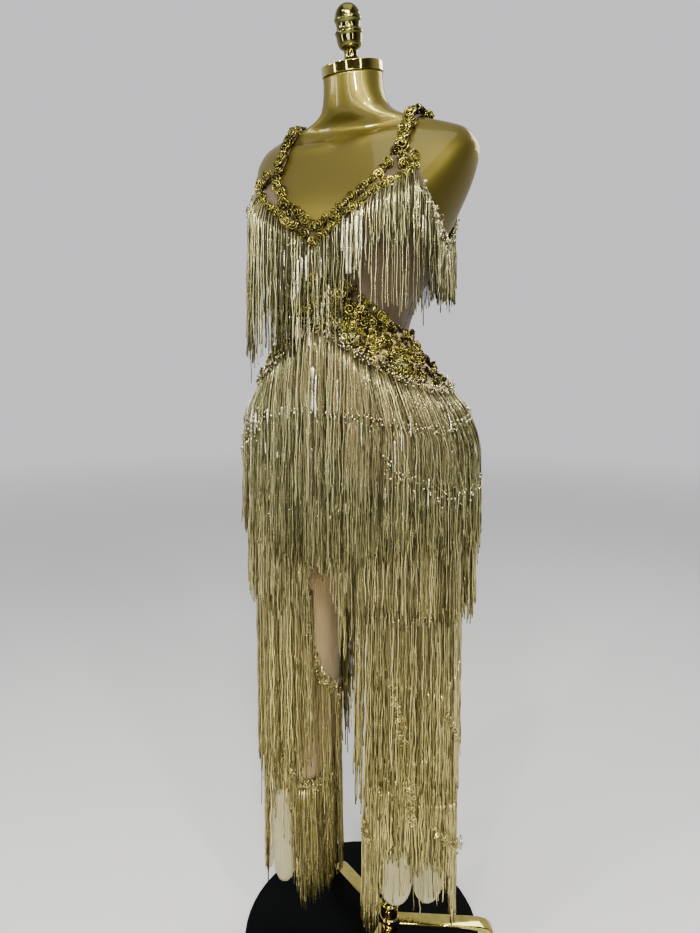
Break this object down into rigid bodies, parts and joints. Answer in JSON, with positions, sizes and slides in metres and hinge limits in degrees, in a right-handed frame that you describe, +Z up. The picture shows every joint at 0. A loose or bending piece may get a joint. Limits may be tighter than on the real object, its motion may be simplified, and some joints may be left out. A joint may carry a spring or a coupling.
{
  "type": "fringed stage jumpsuit on a limbless dress form and tripod stand",
  "caption": "Sleeveless stage jumpsuit of nude mesh with gold rosette bands, tiers of gold fringe and pleated petal hems, on a glossy gold limbless dress form with pole, tripod and round base.",
  "frame": {"origin": "centre of the round base plate's underside, on the floor", "axes": "+Z up, -Y to the front of the figure, +X to the wearer's left"},
  "size_m": [0.4562, 0.44, 1.5761],
  "materials": {
    "gold_gloss": "olive-gold lacquer with a satin gloss",
    "gold_metal": "polished gold-coloured metal",
    "black_plate": "matt black powder coat",
    "nude_mesh": "fine sheer nude mesh, finely pleated on the legs",
    "pleated_cream": "cream cloth in fine knife pleats",
    "gold_rosettes": "coiled gold braid rosettes",
    "sequin_trim": "clusters of pale gold sequins",
    "fringe_gold": "hanging strands of champagne and old-gold tinsel"
  },
  "bodies": {
    "root": {"armhole_trim_left": "sequin_trim", "armhole_trim_right": "sequin_trim", "back_rosettes": "gold_rosettes", "base_plate": "black_plate", "bodice_back": "nude_mesh", "bodice_front": "nude_mesh", "bust_fringe_back_left": "fringe_gold", "bust_fringe_back_right": "fringe_gold", "bust_fringe_front_left": "fringe_gold", "bust_fringe_front_right": "fringe_gold", "centre_fringe": "fringe_gold", "dress_form": "gold_gloss", "finial": "gold_metal", "hip_fringe_lower_back_left": "fringe_gold", "hip_fringe_lower_back_right": "fringe_gold", "hip_fringe_lower_front_left": "fringe_gold", "hip_fringe_lower_front_right": "fringe_gold", "hip_fringe_upper_back_left": "fringe_gold", "hip_fringe_upper_back_right": "fringe_gold", "hip_fringe_upper_front_left": "fringe_gold", "hip_fringe_upper_front_right": "fringe_gold", "leg_fringe_lower_left": "fringe_gold", "leg_fringe_lower_right": "fringe_gold", "leg_fringe_upper_left": "fringe_gold", "leg_fringe_upper_right": "fringe_gold", "neck_cap": "gold_metal", "neck_rosettes_left": "gold_rosettes", "neck_rosettes_right": "gold_rosettes", "outer_rosettes_left": "gold_rosettes", "outer_rosettes_right": "gold_rosettes", "petal_left_1": "pleated_cream", "petal_left_2": "pleated_cream", "petal_left_3": "pleated_cream", "petal_left_4": "pleated_cream", "petal_left_5": "pleated_cream", "petal_left_6": "pleated_cream", "petal_left_7": "pleated_cream", "petal_right_1": "pleated_cream", "petal_right_2": "pleated_cream", "petal_right_3": "pleated_cream", "petal_right_4": "pleated_cream", "petal_right_5": "pleated_cream", "petal_right_6": "pleated_cream", "petal_right_7": "pleated_cream", "pole": "gold_metal", "stand_arm_1": "gold_metal", "stand_arm_2": "gold_metal", "stand_arm_3": "gold_metal", "stand_hub": "gold_metal", "strap_left": "nude_mesh", "strap_right": "nude_mesh", "strap_rosettes_left": "gold_rosettes", "strap_rosettes_right": "gold_rosettes", "trouser_back_left": "nude_mesh", "trouser_back_right": "nude_mesh", "trouser_front_left": "nude_mesh", "trouser_front_right": "nude_mesh", "waist_band_back": "gold_rosettes", "waist_band_left": "gold_rosettes", "waist_band_right": "gold_rosettes"}
  },
  "joints": []
}
